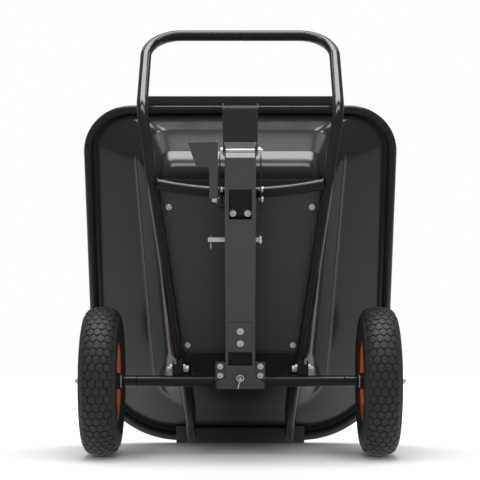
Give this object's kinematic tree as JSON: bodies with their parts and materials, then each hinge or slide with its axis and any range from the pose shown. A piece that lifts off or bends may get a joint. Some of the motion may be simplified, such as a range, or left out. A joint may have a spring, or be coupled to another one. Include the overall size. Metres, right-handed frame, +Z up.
{
  "type": "garden cart",
  "caption": "Two-wheeled tipping garden cart: pressed steel tub on a tube frame with a loop handle, channel spine, foot latch and folding rear stand.",
  "frame": {"origin": "on the floor, below the middle of the cart's box", "axes": "+X to the side along the axle, +Z up along the longest extent, cart tipped forward with its underside facing -Y"},
  "size_m": [0.892, 0.868, 1.174],
  "materials": {
    "tub_enamel": "gloss black enamel",
    "tube_enamel": "gloss black powder coat",
    "satin_black": "satin black powder coat",
    "zinc_plate": "bright zinc plate",
    "rim_enamel": "gloss orange enamel",
    "hub_enamel": "gloss orange enamel",
    "tyre_rubber": "black tread rubber",
    "valve_rubber": "black rubber",
    "bearing_steel": "ground steel"
  },
  "bodies": {
    "tub_frame": {"tub": "tub_enamel", "rear_lip": "satin_black", "nose_guard": "satin_black", "frame_tube_left": "tube_enamel", "frame_tube_right": "tube_enamel", "handle_sleeve": "zinc_plate", "crossbar": "tube_enamel", "base_plate": "satin_black", "front_support_left": "tube_enamel", "front_support_right": "tube_enamel", "pivot_lugs": "satin_black", "latch_plate_left": "satin_black", "latch_plate_right": "satin_black", "tub_bolts": "zinc_plate", "tub_nuts": "zinc_plate", "latch_plate_bolts": "zinc_plate", "pivot_bolts": "zinc_plate", "pivot_nuts": "zinc_plate"},
    "chassis": {"axle_tube": "tube_enamel", "axle_stub_left": "tube_enamel", "axle_stub_right": "tube_enamel", "axle_washers": "zinc_plate", "axle_end_nuts": "zinc_plate", "axle_ears": "satin_black", "spine": "satin_black", "spine_catch": "satin_black", "spine_plates": "satin_black", "ramp_bolts": "zinc_plate", "front_plate": "satin_black", "front_plate_bolts": "zinc_plate", "saddle_bolts": "zinc_plate", "saddle_nuts": "zinc_plate", "pivot_bracket_left": "satin_black", "pivot_bracket_right": "satin_black", "bracket_bolts": "zinc_plate", "stand_bolt": "zinc_plate", "stand_nut": "zinc_plate", "lock_pin": "zinc_plate", "lock_clip": "zinc_plate"},
    "stand_leg": {"stand_leg": "satin_black"},
    "latch_lever": {"latch_lever": "satin_black", "latch_cam": "satin_black", "lever_shaft": "zinc_plate", "lever_nut": "zinc_plate"},
    "draw_pin": {"draw_pin": "zinc_plate", "pin_clip": "zinc_plate"},
    "wheel_left": {"tyre_left": "tyre_rubber", "rim_outer_left": "rim_enamel", "rim_inner_left": "rim_enamel", "hub_left": "hub_enamel", "rim_bolts_left": "zinc_plate", "valve_stem_left": "valve_rubber", "bearings_left": "bearing_steel"},
    "wheel_right": {"tyre_right": "tyre_rubber", "rim_outer_right": "rim_enamel", "rim_inner_right": "rim_enamel", "hub_right": "hub_enamel", "rim_bolts_right": "zinc_plate", "valve_stem_right": "valve_rubber", "bearings_right": "bearing_steel"}
  },
  "joints": [
    {"name": "chassis_tip", "type": "hinge", "parent": "tub_frame", "child": "chassis", "pos_m": [0, 0.00686, 0.2323], "axis": [1, 0, 0], "range_deg": [0, 66]},
    {"name": "wheel_left_spin", "type": "hinge", "parent": "chassis", "child": "wheel_left", "pos_m": [-0.371, -0.0116, 0.2], "axis": [1, 0, 0], "continuous": true},
    {"name": "wheel_right_spin", "type": "hinge", "parent": "chassis", "child": "wheel_right", "pos_m": [0.371, -0.0116, 0.2], "axis": [1, 0, 0], "continuous": true},
    {"name": "stand_fold", "type": "hinge", "parent": "chassis", "child": "stand_leg", "pos_m": [0, -0.27516, 0.79198], "axis": [1, 0, 0], "range_deg": [-34, 54]},
    {"name": "lever_press", "type": "hinge", "parent": "tub_frame", "child": "latch_lever", "pos_m": [-0.06, -0.21782, 0.67302], "axis": [1, 0, 0], "range_deg": [0, 22], "stiffness_Nm_per_rad": 1, "springref_deg": -20.05},
    {"name": "pin_slide", "type": "slide", "parent": "chassis", "child": "draw_pin", "axis": [1, 0, 0], "range_m": [-0.009, 0.03]}
  ]
}
